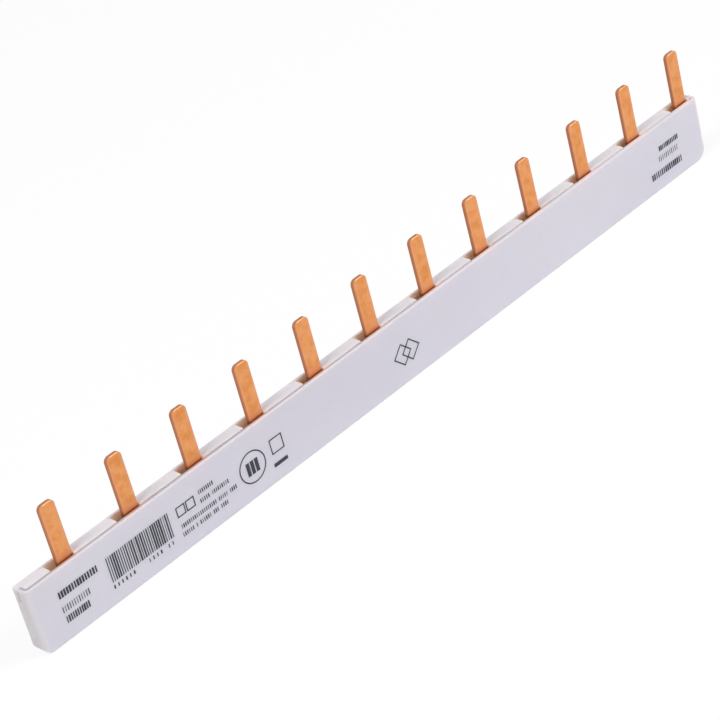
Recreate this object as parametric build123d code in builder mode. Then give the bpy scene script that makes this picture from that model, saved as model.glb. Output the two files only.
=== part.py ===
from build123d import *
import os

os.makedirs("parts", exist_ok=True)

# Comb busbar: a stamped copper comb between two moulded shells.
# Millimetres. X runs along the bar, the front face looks towards -Y, and the
# pins point up. The origin is the middle of the bottom edge that it stands on.

# Copper comb
pin_count = 12
pitch = 18.0            # one module of a distribution board
pin_width = 4.0
pin_length = 13.3       # what stands out of the housing
pin_tip_radius = 1.2
comb_thickness = 1.1
spine_height = 9.1      # with the thickness, a section of 10 mm2
spine_shoulder = 0.9    # spine past the outer side of each end pin
root_radius = 0.5       # inside corners between pins and spine
edge_break = 0.15       # worn edge of the stamping

# Housing, both shells together
housing_height = 15.8
corner_radius = 1.9     # the two lower corners, seen from the front
end_radius = 1.2        # upright corners of the front, seen from above
back_end_radius = 0.5   # upright corners of the back
edge_radius = 0.35      # lower edges of the front and the back
rim_radius = 0.3        # edges round the top

# Walls
front_wall = 1.0
back_wall = 0.8
end_wall = 0.9
floor_wall = 1.4
roof = 1.6

# Room round the comb
left_space = 8.2        # empty end of the pocket, left of the comb
right_space = 0.2
front_space = 0.85      # in front of the comb, bridged by the ribs
back_space = 0.85       # behind the comb, bridged by the ribs
comb_clearance = 0.05

# Windows in the top strip
window_left = 2.4       # from the pin's side to the window's end
window_right = 0.15

# Joint between the shells
parting_depth = 2.7     # front face to parting line, on the ends and the bottom
seam_gap = 0.05
seam_chamfer = 0.15     # on the ends and the bottom
groove_width = 0.4      # along the top strip, behind the front rim
groove_depth = 0.4
pry_height = 2.4        # slot at each end where the shells are parted
pry_width = 0.5
pry_depth = 0.35
pry_drop = 0.9          # from the top to the slot

# Ribs in the bays between the pins, and pegs in every other bay
rib_width = 1.2
boss_radius = 1.2       # where there is room above the spine
boss_clearance = 0.3    # from the spine to the bosses that hold it down
peg_radius = 0.6
peg_clearance = 0.05
peg_end_gap = 0.2

# Places worked out from the sizes
row_length = (pin_count - 1) * pitch
spine_length = row_length + pin_width + 2 * spine_shoulder
length = end_wall + left_space + spine_length + right_space + end_wall
pocket_length = length - 2 * end_wall
row_middle = -length / 2 + end_wall + left_space + spine_length / 2
bay_count = pin_count - 1
bay_centres = [row_middle - row_length / 2 + pitch * (bay + 0.5) for bay in range(bay_count)]

comb_front = front_wall + front_space
pocket_back = comb_front + comb_thickness + back_space
housing_depth = pocket_back + back_wall
rear_front = parting_depth + seam_gap
strip_front = front_wall + seam_gap

spine_bottom = floor_wall + comb_clearance
spine_top = spine_bottom + spine_height
roof_bottom = housing_height - roof
tip_height = housing_height + pin_length

# The bosses are limited by the room between the spine and the roof.
boss_room = roof_bottom - spine_top - 2 * boss_clearance
round_boss = min(boss_radius, boss_room / 2)
round_peg = min(peg_radius, round_boss / 2)
boss_height = spine_top + boss_clearance + round_boss

pocket_radius = corner_radius - max(end_wall, floor_wall)
window_width = window_left + pin_width + window_right
window_shift = (window_right - window_left) / 2
front_rib = front_space - comb_clearance
rear_rib = back_space - comb_clearance

# The upright corners end before the chamfers of the parting line.
front_end = parting_depth - seam_chamfer
back_end = housing_depth - rear_front - seam_chamfer
front_round = min(end_radius, 0.75 * front_end)
back_round = min(back_end_radius, 0.75 * back_end)


def at_depth(depth):
    """Plane parallel to the front face and this far behind it, looking forwards."""
    return Plane.XZ.offset(housing_depth / 2 - depth)


def upright(width, bottom, top):
    """Rectangle between two heights, centred where it is placed along the bar."""
    with Locations((0, (bottom + top) / 2)):
        Rectangle(width, top - bottom)


def housing_outline():
    """Both shells from the front: square above, rounded lower corners."""
    upright(length, 0, housing_height)
    fillet(vertices().group_by(Axis.Y)[0], corner_radius)


def housing_plan():
    """Both shells from above, with rounded corners."""
    Rectangle(length, housing_depth)
    fillet(vertices().group_by(Axis.Y)[0], front_round)
    fillet(vertices().group_by(Axis.Y)[-1], back_round)


def pocket_outline(top):
    """Hollow for the comb, with lower corners that follow the outside."""
    upright(pocket_length, floor_wall, top)
    fillet(vertices().group_by(Axis.Y)[0], pocket_radius)


def bay_ribs():
    """One upright rib in the middle of each bay, as high as the spine."""
    with Locations((row_middle, 0)):
        with GridLocations(pitch, 0, bay_count, 1):
            upright(rib_width, floor_wall, spine_top)


def peg_circles(radius):
    """Circles just above the spine, in every other bay from the first."""
    with Locations(*[(x, boss_height) for x in bay_centres[::2]]):
        Circle(radius)


# Copper comb: the whole outline is stamped from one strip.
with BuildPart() as copper_comb:
    with BuildSketch(at_depth(comb_front)):
        with Locations((row_middle, 0)):
            upright(spine_length, spine_bottom, spine_top)
        fillet(vertices().group_by(Axis.Y)[0], pocket_radius)
        with Locations((row_middle, 0)):
            with GridLocations(pitch, 0, pin_count, 1):
                upright(pin_width, spine_top, tip_height)
        fillet(vertices().group_by(Axis.Y)[-1], pin_tip_radius)
        shoulder_line = vertices().filter_by_position(Axis.Y, spine_top - 0.01, spine_top + 0.01)
        roots = shoulder_line.sort_by(Axis.X)[1:-1]
        fillet(roots, root_radius)
    extrude(amount=-comb_thickness)
    stamped_faces = copper_comb.faces().filter_by(Axis.Y)
    chamfer(stamped_faces.edges(), edge_break)
copper_comb.part.label = "copper_comb"

# Front shell: the front wall, with the front half of the ends and the floor.
with BuildPart() as front_shell:
    with BuildSketch(at_depth(parting_depth)):
        housing_outline()
    extrude(amount=parting_depth)
    front_edges = front_shell.faces().sort_by(Axis.Y)[0].edges()
    fillet(front_edges.sort_by(Axis.Z)[:-1], edge_radius)
    with BuildSketch(Plane.XY):
        housing_plan()
    extrude(amount=housing_height, mode=Mode.INTERSECT)
    seam_edges = front_shell.faces().sort_by(Axis.Y)[-1].edges()
    chamfer(seam_edges.sort_by(Axis.Z)[:-1], seam_chamfer)
    top_edges = front_shell.faces().sort_by(Axis.Z)[-1].edges()
    fillet(top_edges.sort_by(Axis.Y)[:-1], rim_radius)
    with BuildSketch(at_depth(parting_depth)):
        pocket_outline(housing_height)
    extrude(amount=parting_depth - front_wall, mode=Mode.SUBTRACT)
    with BuildSketch(at_depth(front_wall)):
        bay_ribs()
    extrude(amount=-front_rib)
    with BuildSketch(at_depth(front_wall)):
        peg_circles(round_boss)
    extrude(amount=front_wall - parting_depth)
    with BuildSketch(at_depth(parting_depth)):
        peg_circles(round_peg + peg_clearance)
    extrude(amount=parting_depth - front_wall, mode=Mode.SUBTRACT)
front_shell.part.label = "front_shell"

# Rear shell: back, rear half of the ends and the floor, and the top strip.
with BuildPart() as rear_shell:
    with BuildSketch(at_depth(rear_front)):
        housing_outline()
    extrude(amount=rear_front - housing_depth)
    back_edges = rear_shell.faces().sort_by(Axis.Y)[-1].edges()
    fillet(back_edges.sort_by(Axis.Z)[:-1], edge_radius)
    with BuildSketch(Plane.XY):
        housing_plan()
    extrude(amount=housing_height, mode=Mode.INTERSECT)
    seam_edges = rear_shell.faces().sort_by(Axis.Y)[0].edges()
    chamfer(seam_edges.sort_by(Axis.Z)[:-1], seam_chamfer)
    top_edges = rear_shell.faces().sort_by(Axis.Z)[-1].edges()
    fillet(top_edges.sort_by(Axis.Y)[1:], rim_radius)
    with BuildSketch(at_depth(rear_front)):
        pocket_outline(roof_bottom)
    extrude(amount=rear_front - pocket_back, mode=Mode.SUBTRACT)
    with BuildSketch(at_depth(strip_front)):
        upright(pocket_length - 2 * seam_gap, roof_bottom, housing_height)
    extrude(amount=strip_front - pocket_back)
    with BuildSketch(at_depth(strip_front)):
        upright(pocket_length - 2 * seam_gap, housing_height - groove_depth, housing_height)
    extrude(amount=-groove_width, mode=Mode.SUBTRACT)
    with BuildSketch(at_depth(strip_front)):
        with Locations((row_middle + window_shift, 0)):
            with GridLocations(pitch, 0, pin_count, 1):
                upright(window_width, roof_bottom, housing_height)
    extrude(amount=strip_front - pocket_back, mode=Mode.SUBTRACT)
    with BuildSketch(at_depth(pocket_back)):
        bay_ribs()
    extrude(amount=rear_rib)
    with BuildSketch(at_depth(pocket_back)):
        peg_circles(round_boss)
    extrude(amount=pocket_back - rear_front)
    with BuildSketch(at_depth(rear_front)):
        peg_circles(round_peg)
    extrude(amount=rear_front - front_wall - peg_end_gap)
    with BuildSketch(at_depth(rear_front)):
        with Locations((-length / 2, 0), (length / 2, 0)):
            upright(2 * pry_depth, housing_height - pry_drop - pry_height, housing_height - pry_drop)
    extrude(amount=-pry_width, mode=Mode.SUBTRACT)
rear_shell.part.label = "rear_shell"

export_step(copper_comb.part, "parts/copper_comb.step")
export_step(front_shell.part, "parts/front_shell.step")
export_step(rear_shell.part, "parts/rear_shell.step")

print(f"length {length:.2f}, pins from {row_middle - row_length / 2:.2f} to {row_middle + row_length / 2:.2f}")
for piece in (copper_comb, front_shell, rear_shell):
    print(piece.part.label, f"{piece.part.volume:.1f} mm3", piece.part.is_valid)
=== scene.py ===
# %% [markdown]
# # A comb busbar, dressed for its photograph
# A comb busbar links the terminals of the devices in a distribution board. A copper strip with a
# row of pins lies in a flat plastic housing, and only the pins stand out of it. The shapes come
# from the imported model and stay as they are, apart from one corner of the housing. This lesson adds
# the camera, the light, the plastic, the copper and the printed marks.

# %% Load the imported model
import math

import bmesh
import bpy
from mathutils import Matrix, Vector


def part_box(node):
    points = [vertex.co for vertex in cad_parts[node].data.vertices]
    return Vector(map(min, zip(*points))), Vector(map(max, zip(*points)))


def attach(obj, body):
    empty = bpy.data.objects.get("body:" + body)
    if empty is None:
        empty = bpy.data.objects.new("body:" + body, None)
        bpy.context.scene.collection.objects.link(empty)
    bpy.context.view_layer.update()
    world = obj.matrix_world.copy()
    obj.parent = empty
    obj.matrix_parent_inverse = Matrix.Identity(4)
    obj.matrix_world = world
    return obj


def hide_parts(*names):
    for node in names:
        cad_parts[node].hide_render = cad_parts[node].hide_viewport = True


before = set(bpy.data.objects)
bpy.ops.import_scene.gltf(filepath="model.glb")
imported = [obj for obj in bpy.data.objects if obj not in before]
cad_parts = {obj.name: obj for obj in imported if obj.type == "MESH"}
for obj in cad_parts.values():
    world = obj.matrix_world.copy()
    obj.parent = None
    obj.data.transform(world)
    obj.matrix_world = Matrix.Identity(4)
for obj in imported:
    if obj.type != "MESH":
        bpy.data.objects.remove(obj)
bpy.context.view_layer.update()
MM = 0.001
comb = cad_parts["copper_comb"]
shells = [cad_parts["front_shell"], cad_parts["rear_shell"]]
front_low, front_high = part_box("front_shell")
rear_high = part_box("rear_shell")[1]
comb_low, comb_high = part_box("copper_comb")

# %% [markdown]
# ## The camera
# The photograph was taken from the front left and above with a long lens, and then turned a
# little, so the bar climbs across the frame. A long lens far away keeps the far end of the bar
# nearly as large as the near end. The three angles were fitted to the corners of the housing and
# the tips of the pins.

# %% Place the camera
camera_data = bpy.data.cameras.new("photo_camera")
camera_data.sensor_width = 36.0
camera_data.lens = 131.96
camera_data.clip_start = 0.01
camera_data.clip_end = 20.0
camera = bpy.data.objects.new("photo_camera", camera_data)
camera.location = Vector((-313.37, -387.93, 296.89)) * MM
camera.rotation_euler = [math.radians(a) for a in (58.96565, 13.15703, -45.8061)]
bpy.context.scene.collection.objects.link(camera)
bpy.context.scene.camera = camera
bpy.context.scene.view_settings.view_transform = "Standard"
print("camera distance, mm:", round(1000 * camera.location.length, 1))

# %% [markdown]
# ## A rounder lower corner
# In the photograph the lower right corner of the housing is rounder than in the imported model, and
# the left one isn't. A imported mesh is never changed, so each shell is copied and the copy stands
# for it. The corner could be cut with a boolean, but that would leave a hard edge along the cut.
# Instead the mesh, whose triangles come loose and are merged first, is sliced finely near it, and
# every point that lies outside the larger radius is moved in. The points are squeezed into a skin
# and keep their order, so no face folds over. The soft front and back edges lie a little further
# in, and stay so round the new corner, but the fine bevel along the seam fades out there. The
# changed mesh needs new normals. A Weighted Normal modifier gives the large faces the say, so they
# stay flat beside rounded edges.

# %% Work out where the corner's points go
CORNER = 3.8 * MM  # the new radius
PACKED_CORNER = 1.9 * MM
SKIN = 0.06 * MM  # how thick the squeezed layer is
SOFT_EDGE = 0.35 * MM  # the radius along the lower front and back edges


def inset_at(y):
    """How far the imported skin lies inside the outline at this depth, because of a soft edge."""
    from_edge = min(y - front_low.y, rear_high.y - y)
    if from_edge >= SOFT_EDGE:
        return 0.0
    return SOFT_EDGE - math.sqrt(max(0.0, SOFT_EDGE**2 - (SOFT_EDGE - from_edge) ** 2))


def packed_reach(across, down):
    """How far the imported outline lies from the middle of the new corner, in this direction."""
    reach = CORNER / max(across, down)
    if CORNER - reach * min(across, down) < PACKED_CORNER:
        shift = CORNER - PACKED_CORNER
        along = shift * (across + down)
        reach = along + math.sqrt(along**2 - 2 * shift**2 + PACKED_CORNER**2)
    return reach


def squeeze(point):
    """Where a point near the corner goes, or None if it stays."""
    across = point.x - (front_high.x - CORNER)
    down = CORNER - point.z
    if across < 0 or down < 0:
        return None
    away = math.hypot(across, down)
    inset = inset_at(point.y)
    kept = CORNER - inset - SKIN
    if away <= kept:
        return None
    old_depth = packed_reach(across / away, down / away) - inset - kept
    share = (kept + (away - kept) * SKIN / old_depth) / away
    return Vector((front_high.x - CORNER + across * share, point.y, CORNER - down * share))


diagonal = math.sqrt(0.5)
loss = packed_reach(diagonal, diagonal) - CORNER
print("the corner loses at most, mm:", round(1000 * loss, 2))

# %% Copy the shells and round their corner
SLICES = 16
MERGED = 0.004 * MM


def round_corner(mesh):
    """Give the lower right corner of a shell's mesh the larger radius."""
    work = bmesh.new()
    work.from_mesh(mesh)
    bmesh.ops.remove_doubles(work, verts=work.verts[:], dist=MERGED)
    steps = [CORNER * cut / SLICES for cut in range(1, SLICES + 1)]
    planes = [((front_high.x - step, 0, 0), (1, 0, 0)) for step in steps]
    planes += [((0, 0, step), (0, 0, 1)) for step in steps]
    start = front_high.x - CORNER
    for place, direction in planes:
        near = [face for face in work.faces if max(v.co.x for v in face.verts) > start]
        parts = near + list({part for face in near for part in [*face.edges, *face.verts]})
        bmesh.ops.bisect_plane(work, geom=parts, dist=MERGED, plane_co=place, plane_no=direction)
    for vertex in work.verts:
        vertex.co = squeeze(vertex.co) or vertex.co
    bmesh.ops.triangulate(work, faces=work.faces[:])
    bmesh.ops.dissolve_degenerate(work, edges=work.edges[:], dist=MERGED)
    work.to_mesh(mesh)
    work.free()
    mesh.shade_smooth()
    mesh.set_sharp_from_angle(angle=math.radians(30))


def settle_normals(piece):
    """Let the large faces decide the normals, and keep the result in the mesh."""
    modifier = piece.modifiers.new("normals", "WEIGHTED_NORMAL")
    modifier.weight = 100
    modifier.keep_sharp = True
    graph = bpy.context.evaluated_depsgraph_get()
    settled = bpy.data.meshes.new_from_object(piece.evaluated_get(graph))
    piece.modifiers.clear()
    piece.data = settled


for place, name in enumerate(("front_shell", "rear_shell")):
    piece = bpy.data.objects.new("rounded_" + name, shells[place].data.copy())
    bpy.context.scene.collection.objects.link(piece)
    round_corner(piece.data)
    settle_normals(piece)
    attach(piece, "root")
    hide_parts(name)
    shells[place] = piece
    print(piece.name, len(piece.data.polygons), "faces")

# %% [markdown]
# ## Writing node trees as sums
# A material is a tree of small nodes. Adding each one by hand hides the idea behind the wiring, so
# a socket is wrapped in a class that knows the signs for sums. An expression such as
# `1 - mask * 0.5` then adds its own Math nodes. Every other node comes from one method, which
# takes the node's type, its settings and the values of its sockets.

# %% Wrap sockets and trees
class Wire:
    """One output socket that can be used in sums."""

    def __init__(self, bench, socket):
        self.bench = bench
        self.socket = socket

    def maths(self, operation, first, second=0.0):
        """The result of a Math node with these two inputs."""
        return self.bench.put("ShaderNodeMath", {"operation": operation}, {0: first, 1: second})

    def __add__(self, other):
        return self.maths("ADD", self, other)

    def __radd__(self, other):
        return self.maths("ADD", other, self)

    def __sub__(self, other):
        return self.maths("SUBTRACT", self, other)

    def __rsub__(self, other):
        return self.maths("SUBTRACT", other, self)

    def __mul__(self, other):
        return self.maths("MULTIPLY", self, other)

    def __rmul__(self, other):
        return self.maths("MULTIPLY", other, self)

    def __lt__(self, other):
        return self.maths("LESS_THAN", self, other)

    def __abs__(self):
        return self.maths("ABSOLUTE", self)

    def ramp(self, low, high):
        """0 below low, 1 above high and a soft step between them."""
        settings = {"interpolation_type": "SMOOTHSTEP"}
        sockets = {"Value": self, "From Min": low, "From Max": high}
        return self.bench.put("ShaderNodeMapRange", settings, sockets)


class Bench:
    """A node tree to build on."""

    def __init__(self, tree):
        self.tree = tree

    def put(self, kind, settings=None, sockets=None, out=0):
        """Add a node, set its settings and its sockets, and give one of its outputs."""
        node = self.tree.nodes.new(kind)
        for name, value in (settings or {}).items():
            setattr(node, name, value)
        for name, value in (sockets or {}).items():
            if isinstance(value, Wire):
                self.tree.links.new(value.socket, node.inputs[name])
            else:
                node.inputs[name].default_value = value
        return Wire(self, node.outputs[out]) if node.outputs else None

    def blend(self, factor, first, second):
        """A colour between two colours, as the factor says."""
        # Sockets 6 and 7 of a Mix node are its two colours, and output 2 is the mixed one.
        settings = {"data_type": "RGBA"}
        first = first if isinstance(first, Wire) else (*first, 1.0)
        second = second if isinstance(second, Wire) else (*second, 1.0)
        return self.put("ShaderNodeMix", settings, {0: factor, 6: first, 7: second}, out=2)


def new_material(name):
    """A material with an empty tree, and the bench to build it on."""
    material = bpy.data.materials.new(name)
    material.use_nodes = True
    material.node_tree.nodes.clear()
    return material, Bench(material.node_tree)


def close_material(bench, shader):
    """Send the shader to the material's output."""
    bench.put("ShaderNodeOutputMaterial", None, {"Surface": shader})


print("the node classes are ready")

# %% [markdown]
# ## Floor and daylight
# The bar stands on a plain pale floor. A floor lit as brightly as white paper would throw too much
# light up at the object, so the floor is split by ray. What the camera and the glossy surfaces see
# is mostly a plain white, with a share of the lit floor left in for the shadow, and what lights the
# object is an ordinary pale grey. The world behind it is made in the same way.

# %% Make the floor and the world
def seen_rays(bench):
    """1 for rays that show the background: from the camera, a reflection or clear glass."""
    path = bench.put("ShaderNodeLightPath")
    outs = path.socket.node.outputs
    glossy = Wire(bench, outs["Is Glossy Ray"])
    clear = Wire(bench, outs["Is Transmission Ray"])
    seen = path + glossy + clear
    return bench.put("ShaderNodeMath", {"operation": "MINIMUM"}, {0: seen, 1: 1.0})


WHITE = (1.0, 1.0, 1.0, 1.0)
PAPER = (0.86, 0.86, 0.86, 1.0)
WHITE_SHARE = 0.86
SKY_STRENGTH = 0.46

floor_material, bench = new_material("pale_floor")
paper = bench.put("ShaderNodeBsdfDiffuse", None, {"Color": PAPER})
white = bench.put("ShaderNodeEmission", None, {"Color": WHITE, "Strength": 1.0})
share = seen_rays(bench) * WHITE_SHARE
mixed = bench.put("ShaderNodeMixShader", None, {0: share, 1: paper, 2: white})
close_material(bench, mixed)

floor_mesh = bpy.data.meshes.new("floor")
edge = 6.0  # metres from the middle of the floor
corners = [(-edge, -edge, 0.0), (edge, -edge, 0.0), (edge, edge, 0.0), (-edge, edge, 0.0)]
floor_mesh.from_pydata(corners, [], [(0, 1, 2, 3)])
floor_mesh.materials.append(floor_material)
floor = bpy.data.objects.new("floor", floor_mesh)
bpy.context.scene.collection.objects.link(floor)

world = bpy.data.worlds.new("daylight")
bpy.context.scene.world = world
world.use_nodes = True
world.node_tree.nodes.clear()
bench = Bench(world.node_tree)
strength = SKY_STRENGTH + seen_rays(bench) * (1 - SKY_STRENGTH)
sky = bench.put("ShaderNodeBackground", None, {"Color": WHITE, "Strength": strength})
bench.put("ShaderNodeOutputWorld", None, {"Surface": sky})
print("floor and world are made")

# %% [markdown]
# ## The lamps
# In the photograph each pin throws a soft shade to its right along the top strip, so one panel
# stands to the left and above. The front face is brighter than the left end all the same, and each
# pin shines along its whole front, so a second panel stands in front, to the right. Both are large,
# as in a light tent.

# %% Hang the lamps
BAR_MIDDLE = Vector((0.0, 0.0, 0.01))


def hang_panel(name, azimuth, elevation, distance, size, power):
    """A square light panel that faces the middle of the bar."""
    data = bpy.data.lights.new(name, "AREA")
    data.size = size
    data.energy = power
    lamp = bpy.data.objects.new(name, data)
    a, e = math.radians(azimuth), math.radians(elevation)
    away = Vector((math.sin(a) * math.cos(e), -math.cos(a) * math.cos(e), math.sin(e)))
    lamp.location = away * distance + BAR_MIDDLE
    lamp.rotation_mode = "QUATERNION"
    lamp.rotation_quaternion = (-away).to_track_quat("-Z", "Y")
    bpy.context.scene.collection.objects.link(lamp)


hang_panel("main_panel", azimuth=-80, elevation=56, distance=1.1, size=0.28, power=5.0)
hang_panel("front_panel", azimuth=44, elevation=47, distance=1.2, size=0.45, power=7.25)

# %% [markdown]
# ## Places on the object
# Some of what the photograph shows belongs to a place and not to a whole surface: a window's walls
# get painted light from the copper beside them, and each pin gets a painted reflection above its
# foot and a painted shade where it goes into the housing. A texture coordinate fixed to the object
# gives the place, in millimetres. The pins repeat, so the remainder after dividing by their spacing
# gives one number that says how far the nearest pin is. The places of the end pins come from the
# comb's own box, whose spine reaches a little past them.

# %% Measure places and directions
PIN_COUNT = 12
PIN_WIDTH = 4.0
SHOULDER = 0.9  # how far the spine reaches past an end pin
FIRST_PIN = 1000 * comb_low.x + SHOULDER + PIN_WIDTH / 2
LAST_PIN = 1000 * comb_high.x - SHOULDER - PIN_WIDTH / 2
PITCH = (LAST_PIN - FIRST_PIN) / (PIN_COUNT - 1)
FRONT = 1000 * front_low.y
BACK = 1000 * rear_high.y
TOP = 1000 * front_high.z


def place_along(bench, axis):
    """How far along an axis of the object a point lies, in millimetres."""
    place = bench.put("ShaderNodeTexCoord", out="Object")
    return bench.put("ShaderNodeSeparateXYZ", None, {"Vector": place}, out=axis) * 1000.0


def looks_along(bench, axis):
    """How much a surface looks along an axis, either way: 0 for not at all, 1 for straight."""
    looking = bench.put("ShaderNodeTexCoord", out="Normal")
    return abs(bench.put("ShaderNodeSeparateXYZ", None, {"Vector": looking}, out=axis))


def beside_pin(bench):
    """How far along the bar a point lies from the middle of the nearest pin."""
    shifted = place_along(bench, "X") - (FIRST_PIN - PITCH / 2)
    settings = {"operation": "FLOORED_MODULO"}
    return bench.put("ShaderNodeMath", settings, {0: shifted, 1: PITCH}) - PITCH / 2


def object_noise(bench, scale, detail=2.0, roughness=0.5, stretch=(1.0, 1.0, 1.0)):
    """Noise fixed to the object; scale counts the bumps in a metre."""
    place = bench.put("ShaderNodeTexCoord", out="Object")
    mapped = bench.put("ShaderNodeMapping", None, {"Vector": place, "Scale": stretch})
    sockets = {"Vector": mapped, "Scale": scale, "Detail": detail, "Roughness": roughness}
    return bench.put("ShaderNodeTexNoise", {"noise_dimensions": "3D"}, sockets, out="Fac")


print("first pin at", round(FIRST_PIN, 2), "and then one every", round(PITCH, 2), "mm")

# %% [markdown]
# ## Moulded plastic
# The housing is light grey plastic with a touch of lilac, moulded in a tool whose walls were
# spark-eroded, so it has a very fine grain and a soft gloss. The grain is far smaller than a
# pixel of the photograph, and shows as a broad highlight along the rounded edges. Two noises of
# different sizes keep the colour from being flat: slow clouds from the flow of the plastic, and a
# fine speckle. The broad faces are the bluest, and the upright corners get a paler painted highlight.
# Such thin plastic lets some light through, so a share of the light is scattered under its skin.

# %% Colour the housing plastic
housing_plastic, bench = new_material("housing_plastic")
clouds = object_noise(bench, 28, detail=3.0)
speckle = object_noise(bench, 1900, detail=1.0)
grain = object_noise(bench, 5200, detail=2.0)
mottle = clouds.ramp(0.35, 0.65) * 0.5 + speckle.ramp(0.3, 0.7) * 0.3
trim = bench.blend(mottle, (0.626, 0.592, 0.626), (0.664, 0.630, 0.661))
# The ends' colours are a little darker than the trim's: a painted shade.
ends = bench.blend(mottle, (0.598, 0.566, 0.584), (0.634, 0.602, 0.618))
faces = bench.blend(mottle, (0.644, 0.621, 0.698), (0.683, 0.659, 0.728))

# The ends, darker as painted shade, and then the two broad faces, which are the only surfaces this
# far from the middle
depth = place_along(bench, "Y")
outside = abs(depth).ramp(BACK - 0.9, BACK - 0.3)
colour = bench.blend(looks_along(bench, "X").ramp(0.80, 1.00), trim, ends)
colour = bench.blend(looks_along(bench, "Y").ramp(0.25, 0.95) * outside, colour, faces)

# The upright corners, a little paler as a painted highlight, and the front rim, toned down since
# light shines in it
RIM_WIDTH = 1.0
CORNER_HIGHLIGHT_TONE = (0.740, 0.690, 0.730)
RIM_TONE = (0.555, 0.522, 0.548)
height = place_along(bench, "Z")
corner_highlight = looks_along(bench, "X") * looks_along(bench, "Y") * 2
colour = bench.blend(corner_highlight * 0.5, colour, CORNER_HIGHLIGHT_TONE)
behind_rim = depth.ramp(FRONT + RIM_WIDTH - 0.05, FRONT + RIM_WIDTH + 0.10)
rim = (1 - behind_rim) * height.ramp(TOP - 0.45, TOP - 0.15)
colour = bench.blend(rim * 0.7, colour, RIM_TONE)
print("plastic so far:", len(bench.tree.nodes), "nodes")

# %% [markdown]
# ## Warm light in the windows
# Each pin colours the plastic beside it. The renderer follows that light by itself, but little of
# it comes back out of such a narrow window, so the plastic there is given a warmer colour too, a
# painted light. The walls of the window are the warmest, and the top strip is warmer and a little
# darker, painted light and painted shade, only close to a pin.

# %% Warm the windows and finish the plastic
WARM_REACH = 5.5  # how far from a pin's middle the strip is still warm
WARM_ABOVE = 10.0  # lower down in the housing no light gets in
WINDOW_MIDDLE = -0.9  # a window reaches further to the left of its pin
WINDOW_REACH = 3.9
WARM_STRIP = (0.690, 0.545, 0.530)
WARM_WALL = (0.985, 0.700, 0.570)
sideways = beside_pin(bench)
between_faces = depth.ramp(FRONT + 0.02, FRONT + 0.55) * (1 - depth.ramp(BACK - 0.8, BACK - 0.1))
inside = between_faces * height.ramp(WARM_ABOVE, WARM_ABOVE + 3.0)
near_pin = 1 - abs(sideways).ramp(PIN_WIDTH / 2 - 0.2, WARM_REACH)
in_window = 1 - abs(sideways - WINDOW_MIDDLE).ramp(WINDOW_REACH, WINDOW_REACH + 0.5)
below_top = 1 - height.ramp(TOP - 0.35, TOP - 0.02)
# Painted copper light and a little painted shade on the strip near each pin, and painted light on the
# window walls
colour = bench.blend(inside * near_pin * 0.6, colour, WARM_STRIP)
colour = bench.blend(inside * in_window * below_top, colour, WARM_WALL)

bump = bench.put("ShaderNodeBump", None, {"Strength": 0.05, "Distance": 0.02 * MM, "Height": grain})
shader = bench.put(
    "ShaderNodeBsdfPrincipled",
    None,
    {
        "Base Color": colour,
        "Roughness": 0.36 + clouds * 0.06,
        "IOR": 1.49,
        "Specular IOR Level": 0.45,
        "Subsurface Weight": 0.6,
        "Subsurface Radius": (1.0, 0.75, 0.65),
        "Subsurface Scale": 2.2 * MM,
        "Normal": bump,
    },
)
close_material(bench, shader)
for shell in shells:
    shell.data.materials.clear()
    shell.data.materials.append(housing_plastic)
print("plastic on", [shell.name for shell in shells])

# %% [markdown]
# ## Stamped copper
# The comb was cut from a rolled strip. Its two broad faces keep the mill's finish: bright, with
# fine lines along the strip and cloudy spots where the metal has begun to tarnish. Its cut edges
# are another surface, torn by the punch, rougher and browner. The direction in which a face looks
# tells the two apart, since the broad faces look along Y and the cut ones don't. A pin is pinker
# along its two sides than down its middle. Just above its foot it is paler, a painted reflection of
# the white rim, and where it goes down between the shells it is a dark brownish painted shade.

# %% Mix the copper
bare_copper, bench = new_material("bare_copper")
cut_edge = 1 - looks_along(bench, "Y").ramp(0.55, 0.90)
end_grain = looks_along(bench, "Z").ramp(0.55, 0.95)
mill_lines = object_noise(bench, 5200, detail=3.0, roughness=0.6, stretch=(0.04, 1.0, 1.0))
tarnish = object_noise(bench, 420, detail=3.0, roughness=0.6)
spots = object_noise(bench, 1500, detail=2.0)
height = place_along(bench, "Z")
border = abs(beside_pin(bench)).ramp(PIN_WIDTH / 2 - 1.2, PIN_WIDTH / 2 - 0.1)
# A pin is paler just above its foot: a painted reflection of the white rim.
foot = 1 - height.ramp(TOP + 0.3, TOP + 2.4)
# Painted shade where a pin goes down between the shells.
sunk = 1 - height.ramp(TOP - 0.40, TOP + 0.10)

bright = (0.840, 0.370, 0.145)
amber = (0.740, 0.285, 0.080)
pink = (0.840, 0.385, 0.200)
dark_spot = (0.620, 0.240, 0.090)
dark_line = (0.660, 0.260, 0.090)
rim_reflection = (0.930, 0.440, 0.210)
torn_side = (0.400, 0.145, 0.070)
torn_tip = (0.300, 0.150, 0.110)
sunk_shade = (0.240, 0.060, 0.022)
face = bench.blend(tarnish.ramp(0.35, 0.68), bright, amber)
face = bench.blend(border * 0.6, face, pink)
face = bench.blend(spots.ramp(0.58, 0.80) * 0.35, face, dark_spot)
face = bench.blend(mill_lines.ramp(0.52, 0.75) * 0.25, face, dark_line)
# The paler tone above the foot is a painted reflection of the white rim.
face = bench.blend(foot * 0.7, face, rim_reflection)
edge_tone = bench.blend(end_grain, torn_side, torn_tip)
colour = bench.blend(cut_edge * 0.85, face, edge_tone)
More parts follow.
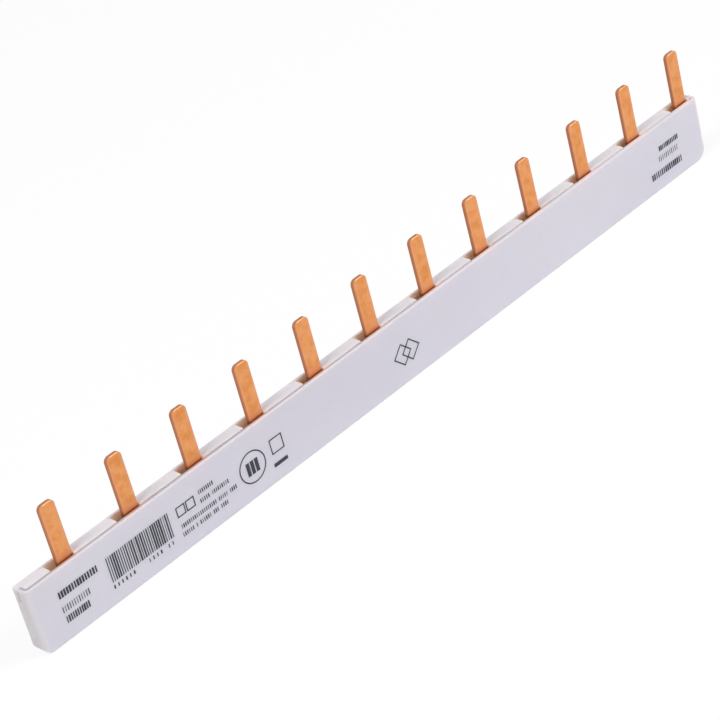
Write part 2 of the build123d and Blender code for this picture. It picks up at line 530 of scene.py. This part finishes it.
# The dark brownish painted shade below the top of the housing.
colour = bench.blend(sunk * 0.85, colour, sunk_shade)
relief = mill_lines * 0.6 + spots * 0.4
bump = bench.put("ShaderNodeBump", None, {"Strength": 0.35, "Distance": 0.03 * MM, "Height": relief})
shader = bench.put(
    "ShaderNodeBsdfPrincipled",
    None,
    {
        "Base Color": colour,
        "Metallic": 1 - cut_edge * 0.35 - foot * 0.3,
        "Roughness": 0.28 + tarnish * 0.12 + mill_lines * 0.12 + cut_edge * 0.18 + foot * 0.2,
        "Normal": bump,
    },
)
close_material(bench, shader)
comb.data.materials.clear()
comb.data.materials.append(bare_copper)
print("copper on", comb.name)

# %% [markdown]
# ## Printed marks
# The front face is pad printed in dark grey. Here the print is plain: strokes, bars and outlines
# that mean nothing, in rows as tall and as wide as such a print takes up. A row of strokes is one
# thing repeated along a line, which is what Geometry Nodes are good at. The tree scatters thin
# blocks along a row, and makes each a little wider or narrower by a seeded number, so every run
# gives the same row.

# %% Mix the ink
ink, bench = new_material("print_ink")
thin_spots = object_noise(bench, 2600, detail=2.0)
full_ink = (0.022, 0.022, 0.034)
thin_ink = (0.070, 0.068, 0.090)
colour = bench.blend(thin_spots.ramp(0.45, 0.80) * 0.5, full_ink, thin_ink)
roughness = 0.42 + thin_spots * 0.1
shader = bench.put("ShaderNodeBsdfPrincipled", None, {"Base Color": colour, "Roughness": roughness})
close_material(bench, shader)
print("ink:", len(bench.tree.nodes), "nodes")

# %% Open and close a geometry tree
def new_geometry_tree(name, inputs):
    """A geometry tree with named inputs; gives the tree, its bench and the inputs as wires."""
    tree = bpy.data.node_groups.new(name, "GeometryNodeTree")
    for title, kind, value in inputs:
        socket = tree.interface.new_socket(title, in_out="INPUT", socket_type=kind)
        socket.default_value = value
    tree.interface.new_socket("Geometry", in_out="OUTPUT", socket_type="NodeSocketGeometry")
    bench = Bench(tree)
    group = tree.nodes.new("NodeGroupInput")
    wires = {title: Wire(bench, group.outputs[title]) for title, kind, value in inputs}
    return tree, bench, wires


def close_geometry_tree(bench, geometry, material):
    """Turn instances into a real mesh, give it its material and send it out."""
    real = bench.put("GeometryNodeRealizeInstances", None, {"Geometry": geometry})
    done = bench.put("GeometryNodeSetMaterial", None, {"Geometry": real, "Material": material})
    bench.put("NodeGroupOutput", None, {"Geometry": done})


print("the two helpers are ready")

# %% Build the tree for a row of strokes
stroke_tree, bench, given = new_geometry_tree(
    "row_of_strokes",
    [
        ("Start", "NodeSocketVector", (0.0, 0.0, 0.0)),
        ("Count", "NodeSocketInt", 8),
        ("Spacing", "NodeSocketFloat", 0.8 * MM),
        ("Width", "NodeSocketFloat", 0.3 * MM),
        ("Height", "NodeSocketFloat", 1.5 * MM),
        ("Ink", "NodeSocketFloat", 0.04 * MM),
        ("Variety", "NodeSocketFloat", 0.4),
        ("Gaps", "NodeSocketFloat", 0.0),
        ("Seed", "NodeSocketInt", 1),
    ],
)
step = bench.put("ShaderNodeCombineXYZ", None, {"X": given["Spacing"]})
row = bench.put(
    "GeometryNodeMeshLine",
    {"mode": "OFFSET"},
    {"Count": given["Count"], "Start Location": given["Start"], "Offset": step},
)
# Sockets 2 and 3 of a Random Value node are the ends of its range, and output 1 is the number.
chance = bench.put(
    "FunctionNodeRandomValue",
    {"data_type": "FLOAT"},
    {2: 0.0, 3: 1.0, "Seed": given["Seed"]},
    out=1,
)
kept = bench.put(
    "GeometryNodeDeleteGeometry",
    {"domain": "POINT"},
    {"Geometry": row, "Selection": chance < given["Gaps"]},
)
spread = bench.put(
    "FunctionNodeRandomValue",
    {"data_type": "FLOAT"},
    {2: -1.0, 3: 1.0, "Seed": given["Seed"] + 7},
    out=1,
)
block = bench.put("GeometryNodeMeshCube", None, {"Size": (1.0, 1.0, 1.0)})
width = given["Width"] * (1 + spread * given["Variety"])
size = bench.put("ShaderNodeCombineXYZ", None, {"X": width, "Y": given["Ink"], "Z": given["Height"]})
strokes = bench.put(
    "GeometryNodeInstanceOnPoints",
    None,
    {"Points": kept, "Instance": block, "Scale": size},
)
close_geometry_tree(bench, strokes, ink)
print("inputs of the tree:", list(given))

# %% [markdown]
# ## Outlined shapes
# Rings and frames are a second tree: a circle with few or many sides, and a flat strip run along
# it. With 64 sides it is a ring, and with 4 it is a square on its corner, which a turn sets upright.
# It is drawn lying down, with the strip's normal set to Z Up so that the strip lies flat, and only
# then stood up against the face.

# %% Build the tree for an outline
outline_tree, bench, given = new_geometry_tree(
    "outlined_shape",
    [
        ("Centre", "NodeSocketVector", (0.0, 0.0, 0.0)),
        ("Sides", "NodeSocketInt", 64),
        ("Radius", "NodeSocketFloat", 3.0 * MM),
        ("Turn", "NodeSocketFloat", 0.0),
        ("Line", "NodeSocketFloat", 0.3 * MM),
        ("Ink", "NodeSocketFloat", 0.04 * MM),
    ],
)
circle = bench.put(
    "GeometryNodeCurvePrimitiveCircle",
    {"mode": "RADIUS"},
    {"Resolution": given["Sides"], "Radius": given["Radius"]},
)
turned = bench.put("ShaderNodeCombineXYZ", None, {"Z": given["Turn"]})
circle = bench.put("GeometryNodeTransform", None, {"Geometry": circle, "Rotation": turned})
circle = bench.put("GeometryNodeSetCurveNormal", {"mode": "Z_UP"}, {"Curve": circle})
profile = bench.put(
    "GeometryNodeCurvePrimitiveQuadrilateral",
    {"mode": "RECTANGLE"},
    {"Width": given["Line"], "Height": given["Ink"]},
)
outline = bench.put("GeometryNodeCurveToMesh", None, {"Curve": circle, "Profile Curve": profile})
upright = (math.pi / 2, 0.0, 0.0)
outline = bench.put(
    "GeometryNodeTransform",
    None,
    {"Geometry": outline, "Translation": given["Centre"], "Rotation": upright},
)
close_geometry_tree(bench, outline, ink)
print("inputs of the tree:", list(given))

# %% [markdown]
# ## Printing the front face
# A tree is run by a modifier on an empty carrier. Its inputs are set by the sockets' identifiers
# before Blender works it out, and what comes out is copied as a plain mesh. All the strokes join
# into one piece, because the print is one layer of ink on one face. It is sunk a little into the
# plastic, so only a film of ink stands out of it.

# %% Run a tree and keep what it makes
INK_DEPTH = 0.04 * MM
INK_PROUD = 0.012 * MM
INK_MIDDLE = front_low.y - INK_PROUD + INK_DEPTH / 2
print_mesh = bmesh.new()


def run_tree(tree, values):
    """Run a geometry tree with these inputs and add its mesh to the print."""
    carrier_mesh = bpy.data.meshes.new("carrier")
    carrier = bpy.data.objects.new("carrier", carrier_mesh)
    bpy.context.scene.collection.objects.link(carrier)
    modifier = carrier.modifiers.new("print", "NODES")
    modifier.node_group = tree
    for item in tree.interface.items_tree:
        if item.in_out == "INPUT":
            modifier[item.identifier] = values[item.name]
    graph = bpy.context.evaluated_depsgraph_get()
    made = bpy.data.meshes.new_from_object(carrier.evaluated_get(graph))
    print_mesh.from_mesh(made)
    bpy.data.meshes.remove(made)
    bpy.data.objects.remove(carrier)
    bpy.data.meshes.remove(carrier_mesh)


def print_row(left, right, middle, height, count, width, variety=0.35, gaps=0.0, seed=1):
    """A row of strokes between two places along the bar, all in millimetres."""
    spacing = (right - left - width) / max(1, count - 1)
    values = {
        "Start": ((left + width / 2) * MM, INK_MIDDLE, middle * MM),
        "Count": count,
        "Spacing": spacing * MM,
        "Width": width * MM,
        "Height": height * MM,
        "Ink": INK_DEPTH,
        "Variety": variety,
        "Gaps": gaps,
        "Seed": seed,
    }
    run_tree(stroke_tree, values)


def print_outline(middle, height, radius, line, sides=64, turn=0.0):
    """A ring or a frame around a place on the face, all in millimetres."""
    values = {
        "Centre": (middle * MM, INK_MIDDLE, height * MM),
        "Sides": sides,
        "Radius": radius * MM,
        "Turn": math.radians(turn),
        "Line": line * MM,
        "Ink": INK_DEPTH,
    }
    run_tree(outline_tree, values)


print("the ink lies around y, mm:", round(1000 * INK_MIDDLE, 3))

# %% [markdown]
# ## The rows and shapes
# Every row is written as its two ends along the bar, the height of its middle and how tall its
# strokes are, in millimetres. The places follow the photograph. Each uneven row has a seed of its
# own, so no two look alike.

# %% Print the marks
# The short rows by the left end
print_row(-100.3, -90.0, 10.4, 1.60, count=15, width=0.46, seed=3)
print_row(-100.4, -93.3, 7.00, 1.50, count=12, width=0.20, gaps=0.1, seed=5)
print_row(-100.3, -94.1, 4.50, 1.60, count=11, width=0.38, seed=8)
# The block of bars, with a row of ticks under it
print_row(-87.6, -70.4, 8.00, 6.00, count=30, width=0.32, variety=0.55, seed=11)
print_row(-87.6, -71.0, 3.90, 0.90, count=16, width=0.34, gaps=0.1, seed=13)
# Two frames and four fine rows
print_outline(-67.0, 9.30, 1.55, line=0.40, sides=4, turn=45)
print_outline(-64.3, 9.30, 1.55, line=0.40, sides=4, turn=45)
print_row(-61.7, -57.6, 10.3, 1.00, count=8, width=0.24, seed=17)
print_row(-61.7, -53.7, 8.20, 1.00, count=15, width=0.24, gaps=0.1, seed=19)
print_row(-68.0, -51.6, 5.80, 1.00, count=31, width=0.24, gaps=0.12, seed=23)
print_row(-68.2, -55.3, 3.90, 1.00, count=24, width=0.24, gaps=0.12, seed=29)
# A ring round three bars, and a frame over a wide bar
print_outline(-46.8, 7.20, 3.60, line=0.30)
print_row(-48.5, -45.1, 7.10, 3.20, count=3, width=0.95, variety=0.0)
print_outline(-39.3, 8.30, 2.40, line=0.40, sides=4, turn=45)
print_row(-41.4, -37.4, 3.90, 0.90, count=1, width=4.0, variety=0.0)
# Two frames on their corners, by the middle
print_outline(-0.2, 7.00, 2.60, line=0.42, sides=4)
print_outline(2.4, 7.00, 2.60, line=0.42, sides=4)
# The rows by the right end
print_row(90.9, 97.9, 10.0, 1.25, count=12, width=0.38, seed=31)
print_row(90.3, 97.8, 7.50, 1.40, count=12, width=0.20, gaps=0.1, seed=37)
print_row(86.8, 98.0, 4.10, 1.60, count=16, width=0.46, seed=41)

bmesh.ops.recalc_face_normals(print_mesh, faces=print_mesh.faces[:])
marks_mesh = bpy.data.meshes.new("printed_marks")
print_mesh.to_mesh(marks_mesh)
print_mesh.free()
marks_mesh.materials.clear()
marks_mesh.materials.append(ink)
marks = bpy.data.objects.new("printed_marks", marks_mesh)
bpy.context.scene.collection.objects.link(marks)
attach(marks, "root")
print("print:", len(marks_mesh.polygons), "faces")
